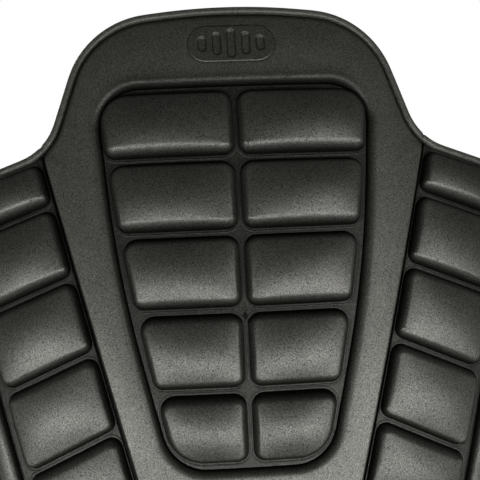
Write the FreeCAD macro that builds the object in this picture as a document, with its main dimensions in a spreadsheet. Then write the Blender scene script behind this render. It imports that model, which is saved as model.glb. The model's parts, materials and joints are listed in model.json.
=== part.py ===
"""Segmented motorcycle back protector: a curved foam shell in four bodies, with raised foam pads.

Frame: +Z up towards the neck, +X to the right as seen from behind the wearer, -Y out of the
outer face. The origin is the deepest point of the inner face. Lengths are in millimetres.
"""
import FreeCAD, Part
import math
import os

V = FreeCAD.Vector
os.makedirs("parts", exist_ok=True)
doc = FreeCAD.newDocument("back_protector")

# ---------------------------------------------------------------- driving dimensions
DIMENSIONS = {
    "ring_radius": 630.0,          # major radius of the ring the shell is cut from, about X
    "inner_radius": 372.5,         # curvature of the inner face across the back
    "liner_thick": 3.0,
    "core_thick": 4.0,
    "face_thick": 2.0,
    "frame_rise": 4.0,
    "pad_rise": 6.8,
    "bolster_rise": 5.0,
    "binding_rise": 1.0,
    "binding_width": 5.0,
    "prism_reach": 130.0,
    "prism_start": -40.0,
    "crease_foot_x": 52.35,        # half width of the spine at the waist line
    "crease_lean": 0.2566,         # outward run of the wing crease per mm of height
    "waist_z": -9.0,
    "column_top_z": 206.6,
    "row_pitch": 38.0,
    "row_growth": 0.42,
    "web_width": 2.4,
    "wing_pitch": 36.6,
    "wing_growth": 0.55,
    "wing_top_z": 151.0,
    "wing_pad_reach": 53.5,
    "notch_slope": 34.5,           # degrees below level of the lumbar panel's upper side edges
    "wing_fan_start": 17.4,        # degrees below level of the shoulder edge
    "wing_fan_step": 2.1,          # extra degrees for each web below it
    "patch_width": 50.0,
    "patch_height": 70.0,
    "patch_stand": 2.5,
    "badge_length": 46.0,
    "badge_height": 20.0,
}
sheet = doc.addObject("Spreadsheet::Sheet", "Dimensions")
for row, (alias, value) in enumerate(DIMENSIONS.items(), start=1):
    sheet.set("A%d" % row, alias)
    sheet.set("B%d" % row, str(value))
    sheet.setAlias("B%d" % row, alias)
doc.recompute()


def size(alias):
    """Value of one driving dimension, read back from the sheet."""
    return float(sheet.get(alias))


# ---------------------------------------------------------------- flat outlines in the XZ plane
def rounded_wire(corners):
    """Closed wire through (x, z, radius) corners, each corner replaced by a tangent arc."""
    edges = []
    ends = []
    for index, (x, z, radius) in enumerate(corners):
        here = V(x, 0, z)
        before = V(corners[index - 1][0], 0, corners[index - 1][1])
        after = V(corners[(index + 1) % len(corners)][0], 0, corners[(index + 1) % len(corners)][1])
        to_before = (before - here).normalize()
        to_after = (after - here).normalize()
        half = to_before.getAngle(to_after) / 2
        if radius == 0:
            ends.append((here, here, None))
            continue
        reach = radius / math.tan(half)
        bisector = (to_before + to_after).normalize()
        middle = here + bisector * (radius / math.sin(half) - radius)
        ends.append((here + to_before * reach, here + to_after * reach, middle))
    for index, (start, finish, middle) in enumerate(ends):
        if middle is not None:
            edges.append(Part.Arc(start, middle, finish).toShape())
        following = ends[(index + 1) % len(ends)][0]
        if finish.distanceToPoint(following) > 1e-6:
            edges.append(Part.LineSegment(finish, following).toShape())
    return Part.Wire(edges)


def mirrored(right_half):
    """Corner list closed over the centre line, from its right half listed from the top down."""
    left_half = [(-x, z, radius) for x, z, radius in reversed(right_half) if x != 0]
    return right_half + left_half


def region(corners):
    """Flat face with rounded corners."""
    return Part.Face(rounded_wire(corners))


def swollen(face, distance):
    """The face grown, or shrunk for a negative distance, by a parallel offset."""
    return Part.Face(face.OuterWire.makeOffset2D(distance))


def mirror_x(face):
    """The face reflected to the other side of the centre line."""
    return face.mirror(V(0, 0, 0), V(1, 0, 0))


def crease_x(z):
    """Half width of the wing crease line at height z."""
    return size("crease_foot_x") + size("crease_lean") * (z - size("waist_z"))


def fan_slope(index):
    """Fall per mm outward of the wing web with this index; 0 is the shoulder edge."""
    return math.tan(math.radians(size("wing_fan_start") + size("wing_fan_step") * index))


def wing_web_z(index):
    """Height at the crease of a wing web; webs 1 to 5 run down the wing."""
    step = index - 1
    return size("wing_top_z") - size("wing_pitch") * step - size("wing_growth") * step * (step - 1)


def row_web_z(index):
    """Height of the web under pad row `index` of the spine column; 0 is its top edge."""
    if index == 0:
        return size("column_top_z")
    step = index - 1
    first = size("column_top_z") - 35.4
    return first - size("row_pitch") * step - size("row_growth") * step * (step - 1)


COLUMN_FOOT_Z = 19.0


def column_x(z):
    """Half width of the spine pad column at height z: a slow arc that widens a little faster high up."""
    drop = 172.0 - z
    return 64.1 - 0.0941 * drop - 0.000448 * drop * drop + 0.03 * max(0.0, z - 60.0)


# Whole outline of the shell, right half from the neck down.
OUTLINE = region(mirrored([
    (0, 254.4, 400),
    (76, 247.5, 48),
    (98.5, 180, 28),
    (160.5, 159.8, 34),
    (160.5, 119, 90),
    (112.5, -68, 110),
    (96, -213, 52),
    (0, -217, 400),
]))
INSIDE_BINDING = swollen(OUTLINE, -size("binding_width"))


def spine_region(gap, notch):
    """Neck and column between the two creases and above the waist line; the gap is the same all
    round, so the notch value isn't used up here."""
    waist = size("waist_z") + gap
    side = gap / math.cos(math.atan(size("crease_lean")))
    top = 300.0
    return region(mirrored([
        (crease_x(top) - side, top, 0),
        (crease_x(waist) - side, waist, 0),
    ]))


def wing_region(gap, notch):
    """Everything right of the crease, less the gap, and above the waist notch. The notch line starts
    `notch` above the waist at the crease, whatever the gap, so that stacked layers share it."""
    side = gap / math.cos(math.atan(size("crease_lean")))
    slope = fan_slope(5)
    far = 300.0
    start_z = size("waist_z") + (notch - slope * side) / (1 + slope * size("crease_lean"))
    start_x = crease_x(start_z) + side
    return region([
        (start_x, start_z, 0),
        (crease_x(far) + side, far, 0),
        (far + 100, far, 0),
        (far + 100, start_z - slope * (far + 100 - start_x), 0),
    ])


def lumbar_region(gap, notch):
    """Everything below the waist line; the side notches open outward so the waist can bend."""
    top = size("waist_z") - gap
    knee = crease_x(size("waist_z")) - 2.0
    far = 300.0
    slope = math.tan(math.radians(size("notch_slope")))
    shift = (notch - gap) / slope
    return region(mirrored([
        (knee - shift, top, 0),
        (far, top - (far - knee + shift) * slope, 0),
        (far, -far - 100, 0),
    ]))


# ---------------------------------------------------------------- curved layers
LEVELS = {
    "inner": "0",
    "liner": "Dimensions.liner_thick",
    "core": "Dimensions.liner_thick + Dimensions.core_thick",
    "floor": "Dimensions.liner_thick + Dimensions.core_thick + Dimensions.face_thick",
}
for name in ("binding", "frame", "bolster", "pad"):
    LEVELS[name] = LEVELS["floor"] + " + Dimensions.%s_rise" % name

tori = {}
for name, height in LEVELS.items():
    torus = doc.addObject("Part::Torus", "level_" + name)
    torus.setExpression("Radius1", "Dimensions.ring_radius")
    torus.setExpression("Radius2", "Dimensions.inner_radius + " + height)
    centre_y = size("ring_radius") + size("inner_radius")
    torus.Placement = FreeCAD.Placement(V(0, centre_y, 0), FreeCAD.Rotation(V(0, 1, 0), 90))
    torus.setExpression("Placement.Base.y", "Dimensions.ring_radius + Dimensions.inner_radius")
    tori[name] = torus


def shell(name, lower, upper):
    """Curved layer between two levels."""
    layer = doc.addObject("Part::Cut", "layer_" + name)
    layer.Base = tori[upper]
    layer.Tool = tori[lower]
    return layer


LAYERS = {
    "liner": shell("liner", "inner", "liner"),
    "core": shell("core", "liner", "core"),
    "face": shell("face", "core", "floor"),
    "binding": shell("binding", "inner", "binding"),
    "frame": shell("frame", "floor", "frame"),
    "bolster": shell("bolster", "floor", "bolster"),
    "pad": shell("pad", "floor", "pad"),
}
doc.recompute()

nodes = []


def prism(label, face):
    """The flat face extruded through the whole depth of the shell."""
    flat = doc.addObject("Part::Feature", label + "_outline")
    flat.Shape = face
    flat.Placement = FreeCAD.Placement(V(0, size("prism_start"), 0), FreeCAD.Rotation())
    body = doc.addObject("Part::Extrusion", label + "_prism")
    body.Base = flat
    body.DirMode = "Custom"
    body.Dir = V(0, 1, 0)
    body.Solid = True
    body.setExpression("LengthFwd", "Dimensions.prism_reach")
    return body


def layer_part(label, face, layer):
    """Sub-part: the part of one curved layer that lies over the flat face."""
    part = doc.addObject("Part::Common", label)
    part.Label = label
    part.Base = prism(label, face)
    part.Tool = LAYERS[layer]
    nodes.append(part)
    return part


def softened_part(label, face, layer, level, radius):
    """Sub-part with its outer edge loop rounded over."""
    sharp = doc.addObject("Part::Common", label + "_sharp")
    sharp.Base = prism(label, face)
    sharp.Tool = LAYERS[layer]
    doc.recompute()
    outer = tori[level].Shape
    picked = []
    for index, edge in enumerate(sharp.Shape.Edges, start=1):
        middle = edge.valueAt((edge.FirstParameter + edge.LastParameter) / 2)
        ends = [vertex.Point for vertex in edge.Vertexes]
        if all(on_level(point, level) for point in ends + [middle]):
            picked.append((index, radius, radius))
    part = doc.addObject("Part::Fillet", label)
    part.Label = label
    part.Base = sharp
    part.Edges = picked
    nodes.append(part)
    return part


def on_level(point, level):
    """True when the point lies on the curved surface of that level."""
    centre_y = size("ring_radius") + size("inner_radius")
    across = math.hypot(point.y - centre_y, point.z) - size("ring_radius")
    return abs(math.hypot(across, point.x) - float(tori[level].Radius2)) < 0.01


# ---------------------------------------------------------------- plates of the four bodies
GAPS = {"liner": 3.2, "core": 2.2, "face": 1.2, "binding": 3.2}
NOTCH_EDGE = {"spine": 0.0, "right_wing": 5.4, "left_wing": 5.4, "lumbar": 3.2}
NOTCH_HEM = {"spine": 0.0, "right_wing": 11.1, "left_wing": 11.1, "lumbar": 9.3}
REGIONS = {
    "spine": spine_region,
    "right_wing": wing_region,
    "left_wing": wing_region,
    "lumbar": lumbar_region,
}
PLATES = {"comfort_liner": "liner", "impact_core": "core", "face_sheet": "face"}
for body_name, body_region in REGIONS.items():
    for plate_name, layer in PLATES.items():
        face = INSIDE_BINDING.common(body_region(GAPS[layer], NOTCH_HEM[body_name])).Faces[0]
        if body_name == "left_wing":
            face = mirror_x(face)
        layer_part(body_name + "_" + plate_name, face, layer)
    whole = OUTLINE.common(body_region(GAPS["binding"], NOTCH_EDGE[body_name]))
    ring = whole.cut(INSIDE_BINDING.common(body_region(GAPS["binding"], NOTCH_HEM[body_name])))
    if body_name == "left_wing":
        ring = mirror_x(ring)
    layer_part(body_name + "_edge_binding", ring.Faces[0], "binding")

# ---------------------------------------------------------------- spine column
COLUMN = region(mirrored([
    (70.8, 208.6, 20),
    (62.3, 113.6, 620),
    (38.9, 16.4, 22),
]))
frame_face = swollen(OUTLINE, -size("binding_width") - 1.0).common(spine_region(2.2, 0.0)).Faces[0]
BADGE = region([
    (-size("badge_length") / 2, 220.5, 9.9),
    (-size("badge_length") / 2, 220.5 + size("badge_height"), 9.9),
    (size("badge_length") / 2, 220.5 + size("badge_height"), 9.9),
    (size("badge_length") / 2, 220.5, 9.9),
])
badge_window = swollen(BADGE, 0.4)
layer_part("collar_frame", frame_face.cut(swollen(COLUMN, 3.0)).cut(badge_window).Faces[0], "frame")
softened_part("collar_badge", BADGE, "frame", "frame", 1.0)

HALF_WEB = size("web_width") / 2
for row in range(1, 6):
    top = row_web_z(row - 1) - (0 if row == 1 else HALF_WEB)
    foot = COLUMN_FOOT_Z if row == 5 else row_web_z(row) + HALF_WEB
    outer_top = 15 if row == 1 else 8
    outer_foot = 20 if row == 5 else 6
    pad = region([
        (HALF_WEB + 0.2, top, 7),
        (column_x(top) - 1.0, top, outer_top),
        (column_x(foot) - 1.0, foot, outer_foot),
        (HALF_WEB + 0.2, foot, 6),
    ])
    softened_part("spine_pad_right_%d" % row, pad, "pad", "pad", 2.4)
    softened_part("spine_pad_left_%d" % row, mirror_x(pad), "pad", "pad", 2.4)

# ---------------------------------------------------------------- wings
SHOULDER_Z = 176.2 + 10.0 * 0.326     # outer edge of the shoulder line above x = 100


def wing_line(index, x):
    """Height of wing web `index` at half width x; index 0 is the inner side of the shoulder."""
    if index == 0:
        return SHOULDER_Z - size("binding_width") - 0.9 - 0.326 * (x - 100.0)
    start = wing_web_z(index)
    return start - fan_slope(index) * (x - crease_x(start))


def crossing(index, offset):
    """Point where a wing web meets the line parallel to the crease at this offset outward."""
    low = size("waist_z") - 150.0
    high = 200.0
    for _ in range(60):
        middle = (low + high) / 2
        if wing_line(index, crease_x(middle) + offset) > middle:
            low = middle
        else:
            high = middle
    return crease_x(low) + offset, low


for row in range(1, 6):
    inner = 1.5
    outer = size("wing_pad_reach")
    upper_gap = 0 if row == 1 else HALF_WEB
    lower_gap = 4.0 if row == 5 else HALF_WEB
    upper = [crossing(row - 1, offset) for offset in (inner, outer)]
    lower = [crossing(row, offset) for offset in (inner, outer)]
    pad = region([
        (upper[0][0], upper[0][1] - upper_gap, 6),
        (upper[1][0], upper[1][1] - upper_gap, 10 if row == 1 else 6),
        (lower[1][0], lower[1][1] + lower_gap, 6),
        (lower[0][0], lower[0][1] + lower_gap, 6),
    ])
    softened_part("right_wing_pad_%d" % row, pad, "pad", "pad", 2.4)
    softened_part("left_wing_pad_%d" % row, mirror_x(pad), "pad", "pad", 2.4)

bolster_inner = region([
    (crease_x(300) + size("wing_pad_reach") + 3.0, 300, 0),
    (400, 300, 0),
    (400, -300, 0),
    (crease_x(-100) + size("wing_pad_reach") + 3.0, -100, 0),
])
bolster_face = swollen(OUTLINE, -size("binding_width") - 1.2).common(bolster_inner)
bolster_face = bolster_face.common(wing_region(4.0, 12.9)).Faces[0]
softened_part("right_wing_bolster", bolster_face, "bolster", "bolster", 2.0)
softened_part("left_wing_bolster", mirror_x(bolster_face), "bolster", "bolster", 2.0)

# ---------------------------------------------------------------- lumbar panel
LUMBAR_COLUMN = region(mirrored([
    (43.0, -20.5, 16),
    (33.5, -183.5, 20),
]))
LUMBAR_FRAME = region(mirrored([
    (50.0, -13.6, 10),
    (47.5, -127, 200),
    (40.0, -191.0, 30),
]))
layer_part("lumbar_frame", LUMBAR_FRAME.cut(swollen(LUMBAR_COLUMN, 1.0)).Faces[0], "frame")


def lumbar_x(z):
    """Half width of the lumbar pad column at height z."""
    return 42.0 + (z + 22.0) * 0.058


for row in range(1, 5):
    pitch = 39.6
    top = -22.5 - pitch * (row - 1)
    foot = top - pitch + size("web_width")
    outer_top = 14 if row == 1 else 8
    outer_foot = 18 if row == 4 else 6
    pad = region([
        (HALF_WEB + 0.2, top, 7),
        (lumbar_x(top) - 1.0, top, outer_top),
        (lumbar_x(foot) - 1.0, foot, outer_foot),
        (HALF_WEB + 0.2, foot, 6),
    ])
    softened_part("lumbar_pad_right_%d" % row, pad, "pad", "pad", 2.4)
    softened_part("lumbar_pad_left_%d" % row, mirror_x(pad), "pad", "pad", 2.4)

flank = swollen(OUTLINE, -size("binding_width") - 4.0)
for row in range(1, 4):
    slope = math.tan(math.radians(size("notch_slope")))
    top = -22.5 - 43.6 * (row - 1)
    band = region([
        (54.0, top, 0),
        (200.0, top - slope * 146.0, 0),
        (200.0, top - slope * 146.0 - 41.6, 0),
        (54.0, top - 41.6, 0),
    ])
    corners = flank.common(band).Faces[0]
    pad = swollen(swollen(corners, -5.0), 5.0)
    softened_part("lumbar_side_pad_right_%d" % row, pad, "pad", "pad", 2.0)
    softened_part("lumbar_side_pad_left_%d" % row, mirror_x(pad), "pad", "pad", 2.0)


# ---------------------------------------------------------------- hook patches on the inner face
def hook_patch(label, z):
    """Flat-faced patch square to the inner face at height z, seated on the curved liner."""
    radius = size("ring_radius") + size("inner_radius")
    tilt = math.asin(z / radius)
    width = size("patch_width")
    height = size("patch_height")
    slab = doc.addObject("Part::Box", label + "_slab")
    slab.setExpression("Length", "Dimensions.patch_width")
    slab.setExpression("Height", "Dimensions.patch_height")
    slab.setExpression("Width", "Dimensions.patch_stand + 4")
    seat = V(0, radius - radius * math.cos(tilt), z)
    turn = FreeCAD.Rotation(V(1, 0, 0), -math.degrees(tilt))
    corner = seat + turn.multVec(V(-width / 2, -4.0, -height / 2))
    slab.Placement = FreeCAD.Placement(corner, turn)
    part = doc.addObject("Part::Common", label)
    part.Label = label
    part.Base = slab
    part.Tool = tori["inner"]
    nodes.append(part)
    face_point = seat + turn.multVec(V(0, size("patch_stand"), 0))
    normal = turn.multVec(V(0, 1, 0))
    print("patch", label, [round(c / 1000, 6) for c in face_point], [round(c, 6) for c in normal])


hook_patch("upper_hook_patch", 130.0)
hook_patch("middle_hook_patch", 42.0)
hook_patch("lower_hook_patch", -105.0)

# ---------------------------------------------------------------- check and write
doc.recompute()
for item in doc.Objects:
    if "Invalid" in item.State or "Error" in item.State:
        raise RuntimeError("%s failed: %s" % (item.Name, item.State))
for part in nodes:
    if part.Shape.isNull() or not part.Shape.isValid():
        raise RuntimeError("bad shape: " + part.Label)
    part.Shape.exportStep("parts/%s.step" % part.Label)
    print(part.Label, len(part.Shape.Solids), round(part.Shape.Volume / 1000, 2), "cm3")
print(len(nodes), "sub-parts")
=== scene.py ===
import json
import bmesh
import bpy
import numpy as np
from mathutils import Matrix, Vector


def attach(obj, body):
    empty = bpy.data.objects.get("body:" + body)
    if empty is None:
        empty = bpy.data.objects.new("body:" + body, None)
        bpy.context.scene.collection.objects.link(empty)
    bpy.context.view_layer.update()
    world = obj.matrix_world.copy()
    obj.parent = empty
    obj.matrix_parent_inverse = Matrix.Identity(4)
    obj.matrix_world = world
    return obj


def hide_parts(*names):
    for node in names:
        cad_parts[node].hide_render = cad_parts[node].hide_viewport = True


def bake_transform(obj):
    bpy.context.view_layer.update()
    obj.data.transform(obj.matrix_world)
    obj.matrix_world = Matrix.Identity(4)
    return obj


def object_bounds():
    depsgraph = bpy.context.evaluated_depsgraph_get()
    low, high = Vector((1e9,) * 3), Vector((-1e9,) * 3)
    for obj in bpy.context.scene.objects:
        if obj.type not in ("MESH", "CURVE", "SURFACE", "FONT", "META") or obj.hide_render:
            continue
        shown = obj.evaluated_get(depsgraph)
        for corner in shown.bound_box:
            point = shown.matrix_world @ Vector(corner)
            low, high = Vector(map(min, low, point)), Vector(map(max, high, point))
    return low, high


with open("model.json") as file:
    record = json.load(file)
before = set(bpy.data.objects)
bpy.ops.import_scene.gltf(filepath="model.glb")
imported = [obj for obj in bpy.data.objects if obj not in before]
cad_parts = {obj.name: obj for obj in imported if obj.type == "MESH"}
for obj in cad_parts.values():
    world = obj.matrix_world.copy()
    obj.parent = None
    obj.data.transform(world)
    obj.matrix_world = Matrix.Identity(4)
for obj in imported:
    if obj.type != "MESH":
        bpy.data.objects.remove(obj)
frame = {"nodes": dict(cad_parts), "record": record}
cad_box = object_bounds()
nodes = frame["nodes"]

# ==== Impact cores ====
# The cores are the blow-absorbing layer: closed-cell foam sheets cut to shape, one per body.
# They stay as the designed solids and only show as thin edges inside the creases.


def new_material(name):
    """Empty node material: returns it with its node tree and Principled shader."""
    material = bpy.data.materials.new(name)
    material.use_nodes = True
    tree = material.node_tree
    return material, tree, tree.nodes["Principled BSDF"]


def cell_material(name, dark, light, cells_per_metre, depth):
    """Small cells: a Voronoi pattern that runs from the dark to the light colour inside each cell and
    raises a bump `depth` metres high."""
    material, tree, shader = new_material(name)
    place = tree.nodes.new("ShaderNodeTexCoord")
    cells = tree.nodes.new("ShaderNodeTexVoronoi")
    cells.inputs["Scale"].default_value = cells_per_metre
    tree.links.new(place.outputs["Object"], cells.inputs["Vector"])
    ramp = tree.nodes.new("ShaderNodeMix")
    ramp.data_type = "RGBA"
    ramp.inputs["A"].default_value = (*dark, 1)
    ramp.inputs["B"].default_value = (*light, 1)
    tree.links.new(cells.outputs["Distance"], ramp.inputs["Factor"])
    tree.links.new(ramp.outputs["Result"], shader.inputs["Base Color"])
    bump = tree.nodes.new("ShaderNodeBump")
    bump.inputs["Strength"].default_value = 1.0
    bump.inputs["Distance"].default_value = depth
    tree.links.new(cells.outputs["Distance"], bump.inputs["Height"])
    tree.links.new(bump.outputs["Normal"], shader.inputs["Normal"])
    shader.inputs["Roughness"].default_value = 0.8
    return material


def finish_node(name, material):
    """Gives a designed solid its material."""
    nodes[name].data.materials.clear()
    nodes[name].data.materials.append(material)


CORE_FOAM = cell_material("core_foam", (0.018, 0.018, 0.017), (0.03, 0.03, 0.028), 1400, 0.00015)
for body in frame["record"]["behaviour"]["bodies"]:
    finish_node(body + "_impact_core", CORE_FOAM)

# ==== Comfort liners ====
# The liners lie against the wearer: a springy spacer mesh about 3 mm thick, one panel per body,
# stitched in under the edge binding. Flat sizes are in millimetres, x across and z up.
RING_RADIUS = 630.0
INNER_RADIUS = 372.5
CREASE_FOOT_X = 52.35
CREASE_LEAN = 0.2566
WAIST_Z = -9.0
BINDING_WIDTH = 5.0
FLOOR = 9.0
SHELL_RIGHT = [(0, 254.4, 400), (76, 247.5, 48), (98.5, 180, 28), (160.5, 159.8, 34),
               (160.5, 119, 90), (112.5, -68, 110), (96, -213, 52), (0, -217, 400)]


def on_shell(x, z, out):
    """Metres. Place of flat point (x, z) lifted `out` mm off the inner face, part of a ring about the
    X axis: its distance from that axis is ring radius + sqrt((inner radius + out)^2 - x^2). Past the
    floor level the lift goes on along the floor's normal, so that raised shapes stand square to it."""
    x, z, out = np.broadcast_arrays(x, z, out)
    radius = INNER_RADIUS + np.minimum(out, FLOOR)
    tube = np.sqrt(radius ** 2 - x ** 2)
    reach = RING_RADIUS + tube
    ahead = np.sqrt(reach ** 2 - z ** 2)
    normal = np.stack([x, -tube * ahead / reach, tube * z / reach], axis=-1) / radius[..., None]
    place = np.stack([x, RING_RADIUS + INNER_RADIUS - ahead, z], axis=-1)
    return (place + normal * np.maximum(out - FLOOR, 0)[..., None]) * 0.001


def unit(vectors):
    """Vectors divided by their lengths."""
    return vectors / np.linalg.norm(vectors, axis=-1, keepdims=True)


def spread(points, count, closed=True):
    """The same line as `count` points evenly spaced along its length, and its right-hand normals."""
    line = np.vstack([points, points[:1]]) if closed else points
    length = np.concatenate([[0], np.cumsum(np.linalg.norm(np.diff(line, axis=0), axis=1) + 1e-9)])
    at = np.linspace(0, length[-1], count + 1)[:-1] if closed else np.linspace(0, length[-1], count)
    even = np.stack([np.interp(at, length, line[:, 0]), np.interp(at, length, line[:, 1])], axis=1)
    if closed:
        run = np.roll(even, -1, 0) - np.roll(even, 1, 0)
    else:
        run = np.gradient(even, axis=0)
    return even, unit(np.stack([run[:, 1], -run[:, 0]], axis=1))


def outline(corners, count):
    """Closed anticlockwise outline: each (x, z, radius) corner becomes the arc that touches both of
    its sides, radius / tan(half the corner's angle) from the corner. Points and outward normals."""
    table = np.array(corners, float)
    here = table[:, :2]
    radius = table[:, 2:] + 1e-3
    back = unit(np.roll(here, 1, 0) - here)
    ahead = unit(np.roll(here, -1, 0) - here)
    half = np.arccos((back * ahead).sum(1, keepdims=True)) / 2
    centre = here + unit(back + ahead) * radius / np.sin(half)
    first = here + back * radius / np.tan(half) - centre
    last = here + ahead * radius / np.tan(half) - centre
    start = np.arctan2(first[:, 1], first[:, 0])
    turn = (np.arctan2(last[:, 1], last[:, 0]) - start + np.pi) % (2 * np.pi) - np.pi
    angle = start[:, None] + turn[:, None] * np.linspace(0, 1, 40)
    arcs = centre[:, None] + radius[:, None] * np.stack([np.cos(angle), np.sin(angle)], axis=-1)
    return spread(arcs.reshape(-1, 2), count)


def both_sides(right):
    """Anticlockwise corners of a symmetric outline, from its right half listed downward."""
    left = [(-x, z, radius) for x, z, radius in right if x != 0]
    return left + right[::-1]


def grid_piece(name, points, material, body=None, uv=None, painted_shade=None, loop_rows=False):
    """Mesh piece from a (rows, columns, 3) array; the columns always close into a loop. Rows that
    shrink to one point or one line are welded shut. The shade mask is painted shade: 1 where a crease
    or hollow is painted dark and 0 on the open surface."""
    rows, columns = points.shape[:2]
    index = np.arange(rows * columns).reshape(rows, columns)
    across = np.roll(index, -1, axis=1)
    below = np.roll(index, -1, axis=0)
    diagonal = np.roll(across, -1, axis=0)
    faces = np.stack([index, below, diagonal, across], axis=-1)
    if not loop_rows:
        faces = faces[:-1]
    faces = faces.reshape(-1, 4)
    mesh = bpy.data.meshes.new(name)
    mesh.vertices.add(rows * columns)
    mesh.vertices.foreach_set("co", points.astype(np.float32).ravel())
    mesh.loops.add(faces.size)
    mesh.loops.foreach_set("vertex_index", faces.astype(np.int32).ravel())
    mesh.polygons.add(len(faces))
    mesh.polygons.foreach_set("loop_start", np.arange(0, faces.size, 4, dtype=np.int32))
    mesh.update(calc_edges=True)
    if uv is not None:
        layer = mesh.uv_layers.new(name="UVMap")
        layer.data.foreach_set("uv", uv.reshape(-1, 2)[faces.ravel()].astype(np.float32).ravel())
    shade_attribute = mesh.attributes.new("painted_shade", "FLOAT", "POINT")
    depth = np.zeros((rows, columns)) if painted_shade is None else painted_shade + np.zeros((rows, columns))
    shade_attribute.data.foreach_set("value", depth.astype(np.float32).ravel())
    shape = bmesh.new()
    shape.from_mesh(mesh)
    bmesh.ops.remove_doubles(shape, verts=shape.verts, dist=2e-6)
    shape.to_mesh(mesh)
    shape.free()
    mesh.polygons.foreach_set("use_smooth", np.full(len(mesh.polygons), True))
    mesh.materials.append(material)
    piece = bpy.data.objects.new(name, mesh)
    bpy.context.collection.objects.link(piece)
    if body:
        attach(piece, body)
    return piece


def from_long_end(edge, normals):
    """The closed line listed from the far end of its long axis, and for each point a place on the short
    line down the middle of the shape. The middle line is (1 - width / length) times the length."""
    centre = edge.mean(axis=0)
    away = edge - centre
    _, _, axes = np.linalg.svd(away, full_matrices=False)
    long_way, short_way = away @ axes[0], away @ axes[1]
    shift = -int(np.argmax(long_way - 4 * np.abs(short_way)))
    edge, normals = np.roll(edge, shift, axis=0), np.roll(normals, shift, axis=0)
    facing = np.roll(edge[::-1], 1, axis=0)
    keep = max(0.05, 1 - np.ptp(short_way) / np.ptp(long_way))
    return edge, normals, centre + ((edge + facing) / 2 - centre) * keep


def plate(name, loop, low, high, material, body, painted_shade=None, round_off=0.8):
    """Flat-faced panel between two heights off the inner face, with a small quarter round top and
    bottom. Rings run from the middle line out over the top, down the edge and back underneath."""
    edge, normals, core = from_long_end(*loop)
    grow = np.linspace(0, 1, 14)[:-1, None, None]
    inner = edge - normals * round_off
    quarter = np.linspace(0, np.pi / 2, 5)[:, None, None]
    top = core + (inner - core) * grow
    corner = inner + normals * round_off * np.sin(quarter)
    flat = np.concatenate([top, corner, corner[::-1], top[::-1]])
    lift = round_off * (1 - np.cos(quarter[:, :, 0]))
    column = np.concatenate([np.full((13, 1), high), high - lift, low + lift[::-1], np.full((13, 1), low)])
    points = on_shell(flat[..., 0], flat[..., 1], column)
    return grid_piece(name, points, material, body, painted_shade=painted_shade)


def crease_x(z):
    """Half width of the crease between spine and wing."""
    return CREASE_FOOT_X + CREASE_LEAN * (z - WAIST_Z)


def fabric_group():
    """Knit laminated on foam. Height is a fine knit (two crossed sine ribs, one pitch apart) plus
    pressed grain. Shade is the grain and blotches around 1, falling towards 0 where the mesh's shade
    attribute paints shade into creases and hollows; Colour is the base times the shade."""
    group = bpy.data.node_groups.new("pressed_knit", "ShaderNodeTree")
    for name, kind, value in (("Colour", "NodeSocketColor", (0.05, 0.05, 0.05, 1)),
                              ("Pitch per metre", "NodeSocketFloat", 1500.0),
                              ("Speckle", "NodeSocketFloat", 0.35),
                              ("Fold shade", "NodeSocketFloat", 0.9)):
        socket = group.interface.new_socket(name, in_out="INPUT", socket_type=kind)
        socket.default_value = value
    group.interface.new_socket("Vector", in_out="INPUT", socket_type="NodeSocketVector")
    for name, kind in (("Colour", "NodeSocketColor"), ("Height", "NodeSocketFloat"),
                       ("Shade", "NodeSocketFloat")):
        group.interface.new_socket(name, in_out="OUTPUT", socket_type=kind)
    node, link = group.nodes.new, group.links.new
    given = node("NodeGroupInput")
    result = node("NodeGroupOutput")

    def noise(scale, detail):
        texture = node("ShaderNodeTexNoise")
        texture.inputs["Scale"].default_value = scale
        texture.inputs["Detail"].default_value = detail
        link(given.outputs["Vector"], texture.inputs["Vector"])
        return texture.outputs["Fac"]

    def math(kind, first, second, third=None):
        step = node("ShaderNodeMath")
        step.operation = kind
        for socket, value in zip(step.inputs, (first, second, third)):
            if isinstance(value, float):
                socket.default_value = value
            elif value is not None:
                link(value, socket)
        return step.outputs[0]

    grain = noise(1700.0, 2.0)
    blotch = noise(60.0, 3.0)
    axes = node("ShaderNodeSeparateXYZ")
    link(given.outputs["Vector"], axes.inputs[0])
    turns = math("MULTIPLY", given.outputs["Pitch per metre"], 6.2832)
    rib_a = math("SINE", math("MULTIPLY", math("ADD", axes.outputs["X"], axes.outputs["Z"]), turns), 0.0)
    rib_b = math("SINE", math("MULTIPLY", math("SUBTRACT", axes.outputs["X"], axes.outputs["Z"]), turns), 0.0)
    knit = math("MULTIPLY_ADD", math("MULTIPLY", rib_a, rib_b), 0.25, 0.5)
    link(math("MULTIPLY_ADD", knit, 0.4, grain), result.inputs["Height"])
    centred = math("SUBTRACT", math("MULTIPLY_ADD", grain, 3.0, math("MULTIPLY", knit, 0.3)), 1.65)
    speckled = math("MULTIPLY_ADD", centred, given.outputs["Speckle"], 1.0)
    mottled = math("MULTIPLY", speckled, math("MULTIPLY_ADD", blotch, 0.3, 0.85))
    # Painted shade: the mesh attribute darkens colour and shine in creases and hollows; sunk is its strength.
    painted_shade = node("ShaderNodeAttribute")
    painted_shade.attribute_name = "painted_shade"
    sunk = math("MINIMUM", math("MULTIPLY", painted_shade.outputs["Fac"], given.outputs["Fold shade"]), 0.95)
    shade = math("MAXIMUM", math("MULTIPLY", mottled, math("SUBTRACT", 1.0, sunk)), 0.0)
    tint = node("ShaderNodeMix")
    tint.data_type = "RGBA"
    tint.blend_type = "MULTIPLY"
    tint.inputs["Factor"].default_value = 1.0
    link(given.outputs["Colour"], tint.inputs["A"])
    link(shade, tint.inputs["B"])
    link(tint.outputs["Result"], result.inputs["Colour"])
    link(shade, result.inputs["Shade"])
    return group


PRESSED_KNIT = fabric_group()


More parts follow.
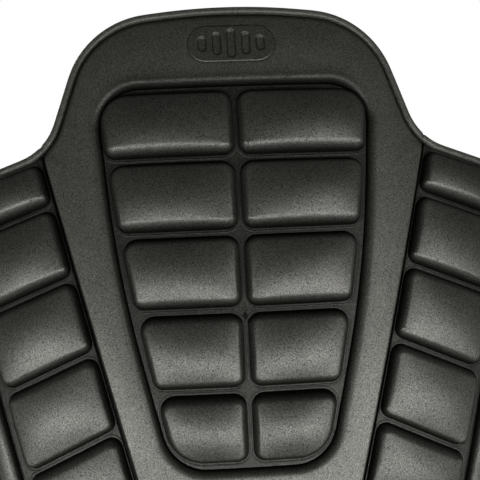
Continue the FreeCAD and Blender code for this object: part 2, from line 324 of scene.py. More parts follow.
def fabric(name, colour, pitch=1500.0, speckle=1.0, depth=0.00012, rough=0.41, shine=0.6):
    """Fabric material: the pressed knit group feeds colour, a bump `depth` metres high, and the weight of
    the thin worn shine on top, which is the shade times `shine` and so also dies away where shade is
    painted."""
    material, tree, shader = new_material(name)
    place = tree.nodes.new("ShaderNodeTexCoord")
    knit = tree.nodes.new("ShaderNodeGroup")
    knit.node_tree = PRESSED_KNIT
    knit.inputs["Colour"].default_value = (*colour, 1)
    knit.inputs["Pitch per metre"].default_value = pitch
    knit.inputs["Speckle"].default_value = speckle
    gloss = tree.nodes.new("ShaderNodeMath")
    gloss.operation = "MULTIPLY"
    gloss.use_clamp = True
    gloss.inputs[1].default_value = shine
    bump = tree.nodes.new("ShaderNodeBump")
    bump.inputs["Distance"].default_value = depth
    bump.inputs["Strength"].default_value = 1.0
    tree.links.new(place.outputs["Object"], knit.inputs["Vector"])
    tree.links.new(knit.outputs["Colour"], shader.inputs["Base Color"])
    tree.links.new(knit.outputs["Shade"], gloss.inputs[0])
    tree.links.new(gloss.outputs[0], shader.inputs["Coat Weight"])
    tree.links.new(knit.outputs["Height"], bump.inputs["Height"])
    tree.links.new(bump.outputs["Normal"], shader.inputs["Normal"])
    shader.inputs["Coat Roughness"].default_value = rough
    shader.inputs["Coat IOR"].default_value = 1.7
    shader.inputs["Roughness"].default_value = 0.8
    shader.inputs["Specular IOR Level"].default_value = 0.0
    return material


LINER_MESH = fabric("liner_mesh", (0.028, 0.029, 0.029), pitch=420.0, speckle=0.5, depth=0.0003, rough=0.7)
CREASE_ACROSS = np.array([1.0, -CREASE_LEAN]) / np.hypot(1, CREASE_LEAN)
DOWN = np.array([0.0, -1.0])


def crease_side(z, gap):
    """Half width at height z of a line `gap` mm outside the crease."""
    return crease_x(z) + gap * np.hypot(1, CREASE_LEAN)


NOTCH_FALL = np.tan(np.radians(27.9))      # slope of the wings' lower edges
LUMBAR_FALL = np.tan(np.radians(34.5))     # slope of the lumbar panel's upper side edges
shell_line, shell_out = outline(both_sides(SHELL_RIGHT), 6000)


def run_of(line, inside):
    """The one stretch of a closed line that lies inside, in its own order."""
    first = int(np.flatnonzero(inside & ~np.roll(inside, 1))[0])
    return np.roll(line, -first, axis=0)[:int(inside.sum())]


def body_path(body, gap, hem, notch=0.0):
    """Outer edge of one body's panels, `hem` inside the outline, `gap` from the creases and `notch` from
    the waist line at the sides: the open run along the outline, led in and out by its inner corners."""
    line = shell_line - shell_out * hem
    x, z = line.T
    if body == "spine":
        foot = WAIST_Z + gap
        corner = np.array([crease_side(foot, -gap), foot])
        run = run_of(line, (np.abs(x) < crease_side(z, -gap)) & (z > foot))
        return np.vstack([corner, run, corner * (-1, 1)])
    if body == "lumbar":
        knee = np.array([crease_x(WAIST_Z) - 2.0 - (notch - gap) / LUMBAR_FALL, WAIST_Z - gap])
        run = run_of(line, z < knee[1] - LUMBAR_FALL * (np.abs(x) - knee[0]))
        return np.vstack([knee * (-1, 1), run, knee])
    away = gap * np.hypot(1, CREASE_LEAN)
    start_z = WAIST_Z + (notch - NOTCH_FALL * away) / (1 + NOTCH_FALL * CREASE_LEAN)
    corner = np.array([crease_side(start_z, gap), start_z])
    inside = (x > crease_side(z, gap)) & (z > start_z - NOTCH_FALL * (x - corner[0]))
    path = np.vstack([corner, run_of(line, inside)])
    return path[::-1] * (-1, 1) if body == "left_wing" else path


BODIES = ("spine", "right_wing", "left_wing", "lumbar")
LINER_THICK = 3.0
INNER_GAP = 3.2                     # room beside a crease for the inner side to close as it bends
PANEL_HEM = BINDING_WIDTH - 0.5     # the panels' edges lie this far in, under the binding
PANEL_NOTCH = 10.6
for body in BODIES:
    loop = spread(body_path(body, INNER_GAP, PANEL_HEM, PANEL_NOTCH), 500)
    liner = plate(body + "_liner_panel", loop, 0.0, LINER_THICK, LINER_MESH, body)
    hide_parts(body + "_comfort_liner")

# ==== Face sheets ====
# The face sheet is the fabric-covered floor that shows between the pads. It is pressed flat over
# the core, one panel per body, and stops just short of each crease. The spine's stops further in,
# under the collar frame, to leave room for the wings' tape.
SHELL_FABRIC = fabric("shell_fabric", (0.022, 0.0221, 0.0200))
FACE_FOOT, FACE_TOP = 7.0, 8.9
for body in BODIES:
    gap = 1.8 if body == "spine" else 0.6
    loop = spread(body_path(body, gap, PANEL_HEM, PANEL_NOTCH), 500)
    # The whole sheet is darkened with painted shade (0.7), for the shade on the floor between the pads.
    sheet = plate(body + "_face_panel", loop, FACE_FOOT, FACE_TOP, SHELL_FABRIC, body, painted_shade=0.7)
    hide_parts(body + "_face_sheet")

# ==== Collar frame ====
# The raised band of foam that frames the centre pads and widens into the neck lobe. Its inner wall
# runs down to the pads' floor, it thins out under the edge binding, and it ends in a tight tuck
# along the wing creases and the waist. Shade is painted along the foot of its inner wall and along
# that tuck.
COLUMN = both_sides([(70.8, 208.6, 20), (62.3, 113.6, 620), (38.9, 16.4, 22)])
COLLAR_CENTRE = np.array([0.0, 108.0])
FRAME_UNDERSIDE, FRAME_FOOT, FRAME_TOP = 7.2, 8.5, 13.0
WALL_WIDTH, RIM_WIDTH, ROLL_WIDTH, TUCK_WIDTH = 5.2, 3.4, 20.0, 2.2
FRAME_GAP = 0.5


def ray_lengths(loop, centre, angle):
    """Distance from the centre to a closed line along each angle."""
    away = loop - centre
    around = np.arctan2(away[:, 1], away[:, 0])
    order = np.argsort(around)
    return np.interp(angle, around[order], np.linalg.norm(away, axis=1)[order], period=2 * np.pi)


def line_lengths(normal, offset, centre, angle):
    """Distance from the centre, along each angle, to the straight line normal . p = offset."""
    facing = normal[0] * np.cos(angle) + normal[1] * np.sin(angle)
    return np.where(facing > 0.01, (offset - np.dot(normal, centre)) / np.maximum(facing, 0.01), 1e4)


def soft_least(lengths, power=70):
    """Least of several lengths with its corners eased, and how much the first one decides it."""
    pulls = np.stack(lengths) ** -float(power)
    return pulls.sum(axis=0) ** (-1 / power), pulls[0] / pulls.sum(axis=0)


def along_rays(centre, angle, length):
    """Points at these lengths along these angles."""
    return centre + length[..., None] * np.stack([np.cos(angle), np.sin(angle)], axis=-1)


def rounded_step(distance, width, power):
    """Rise from 0 to 1 over this width, steep at the foot and rounded over at the top:
    1 - (1 - distance / width)^power."""
    return 1 - (1 - np.clip(distance / width, 0, 1)) ** power


def band(name, inner_loop, outer_of, centre, body, sink=None, roll=0.0, columns=960):
    """Raised band between an inner closed line and an outer one, laid out on rays from a centre.
    Height is a rounded step up from the inner line times a rounded step up from the outer one; `roll`
    is the share of that second step taken slowly, over the roll width, where the rim faces up. The
    painted shade is exp(-(distance / reach)^2) from both lines, and reaches further under the top wall,
    where the wall faces down."""
    even = np.linspace(-np.pi, np.pi, 4001)[:-1]
    outer_even, _ = outer_of(even)
    steps = [np.linalg.norm(np.diff(along_rays(centre, even, lengths), axis=0, append=np.nan), axis=1)
             for lengths in (ray_lengths(inner_loop, centre, even), outer_even)]
    travel = np.concatenate([[0], np.nancumsum(steps[0] + steps[1])[:-1]])
    angle = np.interp(np.linspace(0, travel[-1], columns + 1)[:-1], travel, even)
    outer, at_rim = outer_of(angle)
    inner = ray_lengths(inner_loop, centre, angle)
    span = outer - inner
    ray = np.stack([np.cos(angle), np.sin(angle)], axis=1)
    facing, ups = [], []
    for length in (inner, outer):
        line = along_rays(centre, angle, length)
        run = np.roll(line, -1, 0) - np.roll(line, 1, 0)
        outward = unit(np.stack([run[:, 1], -run[:, 0]], axis=1))
        facing.append((ray * outward).sum(axis=1))
        ups.append(np.clip(outward[:, 1], 0, 1) ** 2)
    near = np.minimum(8.0, 0.45 * span)
    far = np.minimum(6.0, 0.4 * span)
    rise = np.linspace(0, 1, 18)[:-1, None] * near
    run = near + np.linspace(0, 1, 34)[:-1, None] * (span - near - far)
    fall = span - far + (1 - (1 - np.linspace(0, 1, 18)[:, None]) ** 1.3) * far
    going = np.concatenate([rise, run, fall])
    flat = along_rays(centre, angle, inner + going)
    from_inner = going * facing[0]
    from_outer = (span - going) * facing[1]
    wall = rounded_step(from_inner, WALL_WIDTH, 2.5)
    slow = roll * ups[1]
    rolled = rounded_step(from_outer, ROLL_WIDTH, 2.0)
    rim = (1 - slow) * rounded_step(from_outer, RIM_WIDTH, 2.4) + slow * rolled
    tuck = rounded_step(from_outer, TUCK_WIDTH, 3.0)
    edge = at_rim * rim + (1 - at_rim) * tuck
    bow = 0.5 * np.sin(np.pi * np.clip(going / span, 0, 1))
    height = FRAME_FOOT + ((FRAME_TOP - FRAME_FOOT) * wall + bow) * edge
    if sink is not None:
        height = height - sink(flat)
    # Painted shade: a dark foot along the inner wall, wider under the top wall, and a thin dark line along
    # the outer edge.
    painted_shade = 0.2 * np.exp(-(from_inner / 0.9) ** 2) + 0.95 * np.exp(-(from_inner / (3.1 + 3.0 * ups[0])) ** 2)
    painted_shade = painted_shade + np.exp(-(from_outer / 0.6) ** 2)
    underside = np.full((1, columns), FRAME_UNDERSIDE)
    flat = np.concatenate([flat, flat[-1:], flat[:1]])
    height = np.concatenate([height, underside, underside])
    painted_shade = np.concatenate([painted_shade, painted_shade[-1:], painted_shade[:1]])
    points = on_shell(flat[..., 0], flat[..., 1], height)
    return grid_piece(name, points, SHELL_FABRIC, body, painted_shade=painted_shade, loop_rows=True)


rim_line = shell_line - shell_out * BINDING_WIDTH
crease_offset = CREASE_ACROSS[0] * (CREASE_FOOT_X - CREASE_LEAN * WAIST_Z)


def collar_outer(angle):
    """Outer line of the collar frame along each angle: edge binding, creases and waist."""
    return soft_least([
        ray_lengths(rim_line, COLLAR_CENTRE, angle),
        line_lengths(CREASE_ACROSS, crease_offset - FRAME_GAP, COLLAR_CENTRE, angle),
        line_lengths(CREASE_ACROSS * (-1, 1), crease_offset - FRAME_GAP, COLLAR_CENTRE, angle),
        line_lengths(DOWN, -(WAIST_Z + 1.6), COLLAR_CENTRE, angle),
    ])


BADGE_Z, BADGE_HALF_LENGTH, BADGE_HALF_HEIGHT, BADGE_CORNER = 230.5, 23.0, 10.0, 9.9


def bar_distance(flat, middle, half_length, half_width, along=0):
    """Signed distance to a bar with round ends that lies along x (0) or z (1); negative inside."""
    away = flat - np.array(middle)
    past = np.maximum(np.abs(away[..., along]) - (half_length - half_width), 0)
    return np.hypot(past, away[..., 1 - along]) - half_width


def badge_seat(flat):
    """The frame sinks 1.1 mm inside the badge outline, over a narrow rounded edge."""
    edge = bar_distance(flat, (0, BADGE_Z), BADGE_HALF_LENGTH, BADGE_HALF_HEIGHT)
    return 1.1 / (1 + np.exp((edge + 0.3) * 6.0))


column_line, _ = outline(COLUMN, 4000)
collar = band("collar_frame_cover", column_line, collar_outer, COLLAR_CENTRE, "spine", sink=badge_seat,
              roll=0.6)
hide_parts("collar_frame")

# ==== Collar badge ====
# A heat-pressed patch let into the collar, level with it. It carries a plain sunk pattern of upright
# bars, tallest in the middle.
BADGE_FABRIC = fabric("badge_fabric", (0.014, 0.0141, 0.0127))
BADGE_FOOT, BADGE_TOP = 11.2, 13.42
BADGE_POINTS = 420
BAR_DEPTH, BAR_HALF_WIDTH = 0.9, 2.0
BAR_PLACES = ((-15, 3.8), (-7.5, 5.8), (0, 7.4), (7.5, 5.8), (15, 3.8))     # x and half height of each
badge_corners = [(side * BADGE_HALF_LENGTH, BADGE_Z + lift * BADGE_HALF_HEIGHT, BADGE_CORNER)
                 for side, lift in ((-1, 1), (-1, -1), (1, -1), (1, 1))]
badge_line, _, badge_middle = from_long_end(*outline(badge_corners, BADGE_POINTS))
to_edge = np.linspace(0, 1, 60)[:, None, None]
badge_flat = badge_middle + (badge_line - badge_middle) * to_edge
badge_rim = -bar_distance(badge_flat, (0, BADGE_Z), BADGE_HALF_LENGTH, BADGE_HALF_HEIGHT)
bars = np.min([bar_distance(badge_flat, (place, BADGE_Z), tall, BAR_HALF_WIDTH, along=1)
               for place, tall in BAR_PLACES], axis=0)
sunk = 1 / (1 + np.exp(bars * 5.0))
badge_height = BADGE_TOP - BAR_DEPTH * sunk - 0.9 * (1 - rounded_step(badge_rim, 1.1, 2.5))
badge_flat = np.concatenate([badge_flat, badge_flat[-1:], badge_flat[:1]])
badge_height = np.concatenate([badge_height, np.full((2, BADGE_POINTS), BADGE_FOOT)])
# Painted shade round the badge's edge and round each sunk bar.
badge_painted_shade = np.concatenate([0.5 * np.exp(-(badge_rim / 0.35) ** 2) + 0.7 * np.exp(-(bars / 0.3) ** 2),
                             np.zeros((2, BADGE_POINTS))])
badge = grid_piece("collar_badge_cover", on_shell(badge_flat[..., 0], badge_flat[..., 1], badge_height),
                   BADGE_FABRIC, "spine", painted_shade=badge_painted_shade)
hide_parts("collar_badge")

# ==== Lumbar frame ====
# The same kind of raised band round the lumbar pads, narrower all round.
LUMBAR_COLUMN = both_sides([(43.0, -20.5, 16), (33.5, -183.5, 20)])
LUMBAR_RIM = both_sides([(50.6, -12.2, 10), (47.8, -127, 200), (40.0, -191.5, 30)])
LUMBAR_CENTRE = np.array([0.0, -100.0])
lumbar_rim_line, _ = outline(LUMBAR_RIM, 4000)
lumbar_column_line, _ = outline(LUMBAR_COLUMN, 4000)


def lumbar_outer(angle):
    """Outer line of the lumbar frame, all of it a tight tuck, with shade painted along it."""
    return ray_lengths(lumbar_rim_line, LUMBAR_CENTRE, angle), np.zeros(len(angle))


lumbar_band = band("lumbar_frame_cover", lumbar_column_line, lumbar_outer, LUMBAR_CENTRE, "lumbar",
                   columns=720)
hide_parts("lumbar_frame")

# ==== Foam pads ====
# Each pad is a block of soft foam moulded under the knit: drafted sides, a rounded shoulder and a
# shallow crown. Its skirt is pressed down on the floor between it and the next pad, with a sharp
# groove round the foot.
PAD_FABRIC = fabric("pad_fabric", (0.011, 0.0111, 0.0100))
FOOT_DEPTH = 0.8                            # the foot starts this far below the floor
PAD_UNDERSIDE = 8.0
MIDDLE_Z, LEAN_REACH = 85.0, 90.0           # height where the walls are even, and how far they change
# Skirt profile: distance outside the foot and height.
SKIRT = np.array([(0.0, 8.2), (0.12, 8.3), (0.28, 8.6), (0.5, 8.92), (0.75, 9.05), (1.05, 9.05),
                  (1.3, 8.9), (1.42, 8.6), (1.42, 8.2)])


def dome(flat, corners):
    """Smooth rise over a four-sided shape: 0 along its sides and 1 in the middle. It is the product, for
    each pair of facing sides, of 4 * one distance * the other / (their sum squared); the first pair's
    share is raised to 0.6, which rounds the pad more sharply there."""
    first = np.array(corners, float)[:, :2]
    run = unit(np.roll(first, -1, axis=0) - first)
    away = flat[..., None, :] - first
    distance = np.maximum(run[:, 0] * away[..., 1] - run[:, 1] * away[..., 0], 0)
    one, other = distance[..., :2], distance[..., 2:]
    return np.prod((4 * one * other / (one + other + 1e-9) ** 2) ** (0.6, 1.0), axis=-1)


def foam_pad(name, corners, body, flip=False, columns=260, shoulder=4.0, crown=3.7, wall=4.2):
    """Closed pad, mirrored to the left side by `flip`. Going in from its foot, height is shoulder *
    rounded step over the wall width plus crown * dome; outside the foot it follows the skirt profile.
    High on the back the walls that face down are the widest, low down those that face up. Shade is
    painted down the walls, furthest on those that face up or down and on a wing's crease side, and over
    the skirt, darkest along the foot. The skirt is narrower, and all painted dark, towards a wing
    crease."""
    edge, normals, core = from_long_end(*outline(corners, columns))
    lean = np.clip((edge[:, 1].mean() - MIDDLE_Z) / LEAN_REACH, -1, 1)
    down, up = np.clip(-normals[:, 1], 0, 1) ** 1.5, np.clip(normals[:, 1], 0, 1) ** 1.5
    wide = wall + down * (0.2 + 3.0 * lean) + up * (0.9 - 1.9 * lean)
    wing = float("wing" in body)
    at_crease = wing * np.clip(-normals @ CREASE_ACROSS, 0, 1) ** 4
    skirt = 1 - 0.6 * at_crease
    inset = (1 - np.linspace(0, 1, 19)[1:] ** 1.6)[:, None] * wide
    grow = np.linspace(0, 1, 21)[:-1, None]
    inner = edge - normals * wide[:, None]
    top = core + (inner - core) * grow[:, :, None]
    sides = edge - normals * inset[:, :, None]
    depth = np.concatenate([wide + 9 * (1 - grow), wide[None], inset])
    rings = np.concatenate([top, inner[None], sides, edge + normals * (SKIRT[:, :1] * skirt)[:, :, None],
                            edge[None], core[None]])
    height = FLOOR - FOOT_DEPTH + (shoulder + FOOT_DEPTH) * rounded_step(depth, wide, 2.7)
    height = height + crown * dome(rings[:len(depth)], corners[:3] + corners[-1:])
    around = np.ones((1, columns))
    height = np.concatenate([height, SKIRT[:, 1:] * around, PAD_UNDERSIDE * around, PAD_UNDERSIDE * around])
    # Painted shade: dark down the walls and over the skirt, darkest along the foot.
    reach = wide * (0.14 + 0.26 * down + (0.6 - 0.4 * wing) * up + 0.45 * at_crease)
    foot_line = 0.45 + 0.55 * np.exp(-(SKIRT[:, :1] / (0.3 + 0.55 * np.maximum(down, up))) ** 4)
    foot_line = foot_line + (1 - foot_line) * at_crease
    painted_shade = np.concatenate([np.exp(-(depth / reach) ** 2), foot_line, 0 * around, 0 * around])
    if flip:
        rings, height, painted_shade = rings[:, ::-1] * (-1, 1), height[:, ::-1], painted_shade[:, ::-1]
    piece = grid_piece(name, on_shell(rings[..., 0], rings[..., 1], height), PAD_FABRIC, body, painted_shade=painted_shade)
    return piece


def pad_pair(name, corners, right_body, left_body, node, **profile):
    """Pad on the right and its mirror image on the left; `node` holds a %s for the side."""
    for side, body in (("right", right_body), ("left", left_body)):
        piece = foam_pad(name % side, corners, body, flip=side == "left", **profile)
        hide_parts(node % side)


# Centre pads: two columns of five, narrower towards the waist.
COLUMN_TOP = 206.6
HALF_WEB = 1.2


def column_x(z):
    """Half width of the centre pad column: a slow arc that widens a little faster high up."""
    drop = 172.0 - z
    return 64.1 - 0.0941 * drop - 0.000448 * drop ** 2 + 0.03 * max(0.0, z - 60.0)


step = np.arange(5)
row_webs = np.concatenate([[COLUMN_TOP], COLUMN_TOP - 35.4 - 38.0 * step - 0.42 * step * (step - 1)])
for row in range(1, 6):
    top = row_webs[row - 1] - (0 if row == 1 else HALF_WEB)
    foot = 19.0 if row == 5 else row_webs[row] + HALF_WEB
    pad_pair("spine_foam_pad_%s_" + str(row), [
        (HALF_WEB - 0.2, top, 7), (HALF_WEB - 0.2, foot, 6),
        (column_x(foot) - 0.3, foot, 20 if row == 5 else 6),
        (column_x(top) - 0.3, top, 15 if row == 1 else 8)],
        "spine", "spine", "spine_pad_%s_" + str(row))

# Wing pads: one slanted row each side; the webs between them fan out from the shoulder.
WING_PAD_REACH = 53.5
WING_HALF_WEB = 0.9
CREASE_OFFSET = 1.2
SHOULDER_X, SHOULDER_Z, SHOULDER_FALL = 100.0, 179.46, 0.326


def wing_web(index):
    """Height of a wing web, its downward slope, and the x where it has that height: its own crease, or
    0 for web 0, which is the shoulder's inner edge."""
    if index == 0:
        return SHOULDER_Z - BINDING_WIDTH - WING_HALF_WEB + SHOULDER_X * SHOULDER_FALL, SHOULDER_FALL, 0.0
    start = 151.0 - 36.6 * (index - 1) - 0.55 * (index - 1) * (index - 2)
    return start, np.tan(np.radians(17.4 + 2.1 * index)), crease_x(start)


def web_point(index, offset, lift=0.0):
    """Where a web, moved up by `lift`, meets the line `offset` outside the crease."""
    start, slope, from_x = wing_web(index)
    base = CREASE_FOOT_X - CREASE_LEAN * WAIST_Z + offset
    z = (start + lift + slope * (from_x - base)) / (1 + slope * CREASE_LEAN)
    return base + CREASE_LEAN * z, z


for row in range(1, 6):
    upper = -WING_HALF_WEB if row > 1 else 0.0
    lower = 4.0 if row == 5 else WING_HALF_WEB
    top_in, top_out = web_point(row - 1, CREASE_OFFSET, upper), web_point(row - 1, WING_PAD_REACH, upper)
    foot_in, foot_out = web_point(row, CREASE_OFFSET, lower), web_point(row, WING_PAD_REACH, lower)
    pad_pair("%s_wing_foam_pad_" + str(row),
             [(*top_in, 6), (*foot_in, 6), (*foot_out, 6), (*top_out, 10 if row == 1 else 6)],
             "right_wing", "left_wing", "%s_wing_pad_" + str(row), shoulder=4.5, crown=2.6)

# Bolsters: one long narrow pad down the outer edge of each wing.
pad_pair("%s_wing_foam_bolster", [(149.4, 149.0, 2), (105.0, -24.1, 4), (115.9, -29.8, 4),
                                  (154.3, 119.0, 84), (154.3, 146.0, 14)],
         "right_wing", "left_wing", "%s_wing_bolster", columns=520, shoulder=3.4, crown=1.4, wall=3.2)

# Lumbar pads: two columns of four, and three slanted ones on each flank.
LUMBAR_TOP, LUMBAR_PITCH, LUMBAR_PAD_TALL = -22.5, 39.6, 37.2
FLANK_PITCH, FLANK_PAD_TALL, FLANK_INNER_X = 43.6, 41.6, 54.0
for row in range(1, 5):
    top = LUMBAR_TOP - LUMBAR_PITCH * (row - 1)
    foot = top - LUMBAR_PAD_TALL
    wide, narrow = 41.0 + (top + 22) * 0.058, 41.0 + (foot + 22) * 0.058
    pad_pair("lumbar_foam_pad_%s_" + str(row), [
        (HALF_WEB + 0.2, top, 7), (HALF_WEB + 0.2, foot, 6),
        (narrow, foot, 18 if row == 4 else 6), (wide, top, 14 if row == 1 else 8)],
        "lumbar", "lumbar", "lumbar_pad_%s_" + str(row))
for row in range(1, 4):
    top = LUMBAR_TOP - FLANK_PITCH * (row - 1)
    flank_x = 103.5 + (top + 30) * 0.11
    fall = LUMBAR_FALL * (flank_x - FLANK_INNER_X)
    lower_x = flank_x - FLANK_PAD_TALL * 0.12
    pad_pair("lumbar_flank_pad_%s_" + str(row), [
        (FLANK_INNER_X, top, 6), (FLANK_INNER_X, top - FLANK_PAD_TALL, 6),
        (lower_x, top - fall - 40.0, 6), (flank_x, top - fall, 6)],
        "lumbar", "lumbar", "lumbar_side_pad_%s_" + str(row))

# ==== Edge binding ====
# A knitted tape folded over the edge and stitched through, one length per body. It runs round the
# outline and along the waist notches, and ends at the creases, where a short elastic link bridges it.


def tape_material():
    """Knitted tape: fine slanted ribs from a sine of (length + 1.6 * way round), on the fabric shade."""
    material = fabric("binding_tape", (0.052, 0.0525, 0.049), pitch=900.0, speckle=0.9, rough=0.5, shine=0.48)
    tree = material.node_tree
    place = tree.nodes.new("ShaderNodeUVMap")
    axes = tree.nodes.new("ShaderNodeSeparateXYZ")
    slant = tree.nodes.new("ShaderNodeMath")
    slant.operation = "MULTIPLY_ADD"
    slant.inputs[1].default_value = 1.6
    scale = tree.nodes.new("ShaderNodeMath")
    scale.operation = "MULTIPLY"
    scale.inputs[1].default_value = 2 * np.pi / 1.3
    wave = tree.nodes.new("ShaderNodeMath")
    wave.operation = "SINE"
    join = tree.nodes.new("ShaderNodeMath")
    join.operation = "MULTIPLY_ADD"
    join.inputs[1].default_value = 2.0
    stripe = tree.nodes.new("ShaderNodeMapRange")
    stripe.inputs["From Min"].default_value = -1.0
    stripe.inputs["To Min"].default_value = 0.4
    stripe.inputs["To Max"].default_value = 1.5
    tint = tree.nodes.new("ShaderNodeMix")
    tint.data_type = "RGBA"
    tint.blend_type = "MULTIPLY"
    tint.inputs["Factor"].default_value = 1.0
    base = tree.nodes["Principled BSDF"].inputs["Base Color"]
    tree.links.new(wave.outputs[0], stripe.inputs["Value"])
    tree.links.new(base.links[0].from_socket, tint.inputs["A"])
    tree.links.new(stripe.outputs["Result"], tint.inputs["B"])
    tree.links.new(tint.outputs["Result"], base)
    tree.links.new(place.outputs["UV"], axes.inputs[0])
    tree.links.new(axes.outputs["Y"], slant.inputs[0])
    tree.links.new(axes.outputs["X"], slant.inputs[2])
    tree.links.new(slant.outputs[0], scale.inputs[0])
    tree.links.new(scale.outputs[0], wave.inputs[0])
    tree.links.new(wave.outputs[0], join.inputs[0])
    bump = tree.nodes["Bump"]
    tree.links.new(bump.inputs["Height"].links[0].from_socket, join.inputs[2])
    tree.links.new(join.outputs[0], bump.inputs["Height"])
    return material


BINDING_TAPE = tape_material()
TAPE_HALF = 2.2
TAPE_MIDDLE, TAPE_HALF_HEIGHT = 4.9, 5.3
BEVEL_TOP, BEVEL_REACH = 10.0, 16.0


def tape_piece(name, path, body=None, swell=1.0, columns=40, bevel=0.0):
    """Tape swept along a flat path with the outside on its right. Its section is a rounded bar,
    |across|^3 + |up|^3 = 1, scaled to the tape's half width and half height. Each end is cut back by
    bevel * (depth below the bevel's top), fading out over its reach."""
    line, normals = path
    angle = np.pi + 2 * np.pi * np.arange(columns) / columns
    across = np.sign(np.cos(angle)) * np.abs(np.cos(angle)) ** 0.667
    up = np.sign(np.sin(angle)) * np.abs(np.sin(angle)) ** 0.667
    level = TAPE_MIDDLE + TAPE_HALF_HEIGHT * swell * up
    length = np.concatenate([[0], np.cumsum(np.linalg.norm(np.diff(line, axis=0), axis=1))])
    lead, trail = (np.clip(1 - way / BEVEL_REACH, 0, 1)[:, None] for way in (length, length[-1] - length))
    way = length[:, None] + (lead - trail) * bevel * np.clip(BEVEL_TOP - level, 0, None)
    line, normals = (np.stack([np.interp(way, length, part) for part in pair.T], -1) for pair in path)
    flat = line + normals * (TAPE_HALF * (swell * across - 1))[None, :, None]
    points = on_shell(flat[..., 0], flat[..., 1], level)
    arc = np.hypot(np.diff(across) * TAPE_HALF, np.diff(up) * TAPE_HALF_HEIGHT)
    around = np.concatenate([[0], np.cumsum(arc)])
    uv = np.stack(np.broadcast_arrays(length[:, None], around), axis=-1)
    caps = [points[end].mean(axis=0) + 0 * points[:1] for end in (0, -1)]
    points = np.concatenate([caps[0], points, caps[1]])
    uv = np.concatenate([uv[:1], uv, uv[-1:]])
    piece = grid_piece(name, points, BINDING_TAPE, body, uv=uv)
    return piece


def eased(path, count, reach=4.0):
    """Evenly spaced path whose sharp corners are rounded by averaging over this many mm each way."""
    line, _ = spread(path, 4 * count, closed=False)
    gap = np.linalg.norm(line[1] - line[0])
    half = int(reach / gap)
    padded = np.vstack([2 * line[0] - line[half:0:-1], line, 2 * line[-1] - line[-2:-half - 2:-1]])
    total = np.cumsum(np.vstack([np.zeros(2), padded]), axis=0)
    smooth = (total[2 * half + 1:] - total[:-2 * half - 1]) / (2 * half + 1)
    return spread(smooth, count, closed=False)


TAPE_GAP = 0.35
for body in BODIES:
    if body == "lumbar":
        path, bevel = body_path(body, INNER_GAP, 0.0, 3.2), 0.0
    else:
        path, bevel = body_path(body, TAPE_GAP, 0.0, 5.4), 0.45
    if body == "spine":
        path = path[1:-1]
    tape = tape_piece(body + "_binding_tape", eased(path, 1000), body, bevel=bevel)
    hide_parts(body + "_edge_binding")

# ==== Crease bridges ====
# Where the panels part, the fabric runs on across the gap: a sunk strip on the outer face, a flat one
# inside, and a short link in the edge tape.
STRIP_SHAPE, STRIP_GAP = (1.8, 7.7, 1.6), 1.2      # half width, level and dip; half the bending gap
INNER_SHAPE = (4.2, 1.2, -0.5)


def bridge(name, line, across, half, level, dip, body, gap, material=SHELL_FABRIC, slot="shell_fabric"):
    """Strip 0.6 mm thick along a straight flat line from the spine's side to another body's side, `half`
    wide each way. Its middle is off its edges by `dip`, as dip * (1 - way across squared)."""
    way = np.concatenate([np.linspace(-1, 1, 15), np.linspace(1, -1, 15)])
    lift = level - dip * (1 - way ** 2) + np.where(np.arange(30) < 15, 0.3, -0.3)
    flat = line[:, None] + across * (half * way)[None, :, None]
    points = on_shell(flat[..., 0], flat[..., 1], lift)
    if across[0] < 0:
        points = points[:, ::-1]
    caps = [points[end].mean(axis=0) + 0 * points[:1] for end in (0, -1)]
    # Both strips are darkened all over with painted shade (0.9), for the shade inside the crease.
    piece = grid_piece(name, np.concatenate([caps[0], points, caps[1]]), material, painted_shade=0.9)
    bend_between(piece, line.mean(axis=0))


def bend_between(piece, middle):
    """Bakes the piece's transform into its mesh."""
    depth = on_shell(middle[0], middle[1], FLOOR)[1]
    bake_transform(piece)


near_crease = shell_line[(shell_line[:, 1] > 100) & (shell_line[:, 0] > 0)]
notch = near_crease[np.argmin(np.abs(near_crease[:, 0] - crease_x(near_crease[:, 1])))]
for side, body in ((1, "right_wing"), (-1, "left_wing")):
    heights = np.linspace(WAIST_Z + 1.0, notch[1] - 3.5, 120)
    line = np.stack([side * crease_x(heights), heights], axis=1)
    across = CREASE_ACROSS * (side, 1)
    bridge(body + "_crease_strip", line, across, *STRIP_SHAPE, body, STRIP_GAP)
    bridge(body + "_liner_bridge", line, across, *INNER_SHAPE, body, INNER_GAP, LINER_MESH, "liner_mesh")
    span = shell_line[np.abs((shell_line - notch) @ CREASE_ACROSS) < 3.0]
    span = span[np.linalg.norm(span - notch, axis=1) < 6.0]
    link_path = spread(span if side > 0 else span[::-1] * (-1, 1), 24, closed=False)
    link = tape_piece(body + "_tape_link", (link_path[0] - link_path[1] * 0.1, link_path[1]), swell=0.93)
    bend_between(link, notch * (side, 1))
reach = crease_x(WAIST_Z) - 2.5
waist_line = np.stack([np.linspace(reach, -reach, 120), np.full(120, WAIST_Z)], axis=1)
bridge("waist_crease_strip", waist_line, DOWN, *STRIP_SHAPE, "lumbar", STRIP_GAP)
bridge("waist_liner_bridge", waist_line, DOWN, *INNER_SHAPE, "lumbar", INNER_GAP, LINER_MESH, "liner_mesh")

# ==== Hook patches ====
# Three flat patches of hook tape on the inner face hold the shell in a jacket's back pocket. They
# stay as the designed solids, with the hooks as a fine raised pattern.
HOOK_TAPE = cell_material("hook_tape", (0.028, 0.028, 0.029), (0.008, 0.008, 0.009), 800, 0.0005)
for name in ("upper", "middle", "lower"):
    finish_node(name + "_hook_patch", HOOK_TAPE)

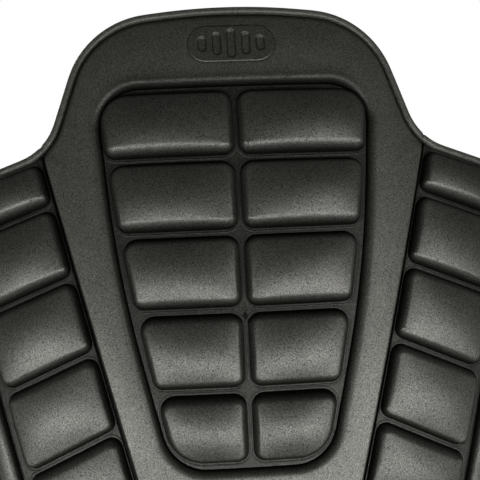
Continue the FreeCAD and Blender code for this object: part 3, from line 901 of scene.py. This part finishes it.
# ==== Studio ====
# Plain pale floor, a long soft light low in front with a small fill on either side, one light on
# the inner face and four on the floor, and the camera square to the upper back.
bpy.context.scene.view_settings.view_transform = "Standard"
world = bpy.data.worlds.new("studio")
bpy.context.scene.world = world
world.use_nodes = True
air = world.node_tree
air_shader = air.nodes["Background"]
air_shader.inputs["Color"].default_value = (1, 1, 1, 1)
sight = air.nodes.new("ShaderNodeLightPath")
strength = air.nodes.new("ShaderNodeMapRange")
strength.inputs["To Min"].default_value = 0.045
strength.inputs["To Max"].default_value = 1.0
air.links.new(sight.outputs["Is Camera Ray"], strength.inputs["Value"])
air.links.new(strength.outputs["Result"], air_shader.inputs["Strength"])


def area_light(name, place, target, size, power, spread=130):
    """Soft rectangle of light, `size` wide and high, at one place and aimed at another."""
    lamp = bpy.data.lights.new(name, "AREA")
    lamp.shape = "RECTANGLE"
    lamp.size, lamp.size_y = size
    lamp.energy = power
    lamp.spread = np.radians(spread)
    lamp.color = (1.0, 1.0, 0.93)
    holder = bpy.data.objects.new(name, lamp)
    bpy.context.collection.objects.link(holder)
    aim = Vector(target) - Vector(place)
    holder.rotation_euler = aim.to_track_quat("-Z", "Y").to_euler()
    holder.location = place


area_light("low_key", (0.08, -0.76, -0.13), (0.0, 0.0, 0.08), (1.8, 0.14), 6.9)
area_light("right_fill", (0.5, -0.75, 0.08), (0.0, 0.0, 0.08), (0.2, 0.5), 1.2)
area_light("left_fill", (-0.6, -0.7, -0.1), (-0.1, 0.0, 0.0), (0.3, 0.12), 1.4)
area_light("back_wash", (-0.3, 1.6, 0.3), (0.0, 0.1, 0.0), (1.6, 0.8), 34.0)
for side, x, y, size in (("front", 0.1, -2.1, (3.6, 1.2)), ("back", 0.1, 2.3, (3.6, 1.2)),
                         ("left", -2.1, 0.1, (1.2, 3.6)), ("right", 2.1, 0.1, (1.2, 3.6))):
    area_light("floor_wash_" + side, (x, y, 2.0), (x, y, -0.2), size, 14.0, spread=70)

lowest = cad_box[0][2]
floor_mesh = bpy.data.meshes.new("floor")
FLOOR_REACH = 3.0
floor_mesh.from_pydata([(x * FLOOR_REACH, y * FLOOR_REACH, lowest)
                        for x, y in ((-1, -1), (1, -1), (1, 1), (-1, 1))], [], [(0, 1, 2, 3)])
floor = bpy.data.objects.new("floor", floor_mesh)
bpy.context.collection.objects.link(floor)
floor_material, _, floor_shader = new_material("floor_paper")
floor_shader.inputs["Base Color"].default_value = (0.8, 0.8, 0.8, 1)
floor_shader.inputs["Roughness"].default_value = 0.9
floor_mesh.materials.append(floor_material)

YAW, PITCH, ROLL = np.radians((-3.889, 0.166, 2.443))
LOOK_AT = Vector((-0.0013, -0.009, 0.1292))
CAMERA_DISTANCE = 0.5164
camera_data = bpy.data.cameras.new("camera")
camera_data.lens = 78.0
camera_data.sensor_width = 36.0
camera_data.clip_start = 0.01
camera = bpy.data.objects.new("camera", camera_data)
bpy.context.collection.objects.link(camera)
turn = Matrix.Rotation(YAW, 3, "Z") @ Matrix.Rotation(PITCH, 3, "X") @ Matrix.Rotation(ROLL, 3, "Y")
right, ahead, up = turn.col[0], turn.col[1], turn.col[2]
facing = Matrix((right, up, -ahead)).transposed().to_4x4()
camera.matrix_world = Matrix.Translation(LOOK_AT - ahead * CAMERA_DISTANCE) @ facing
bpy.context.scene.camera = camera
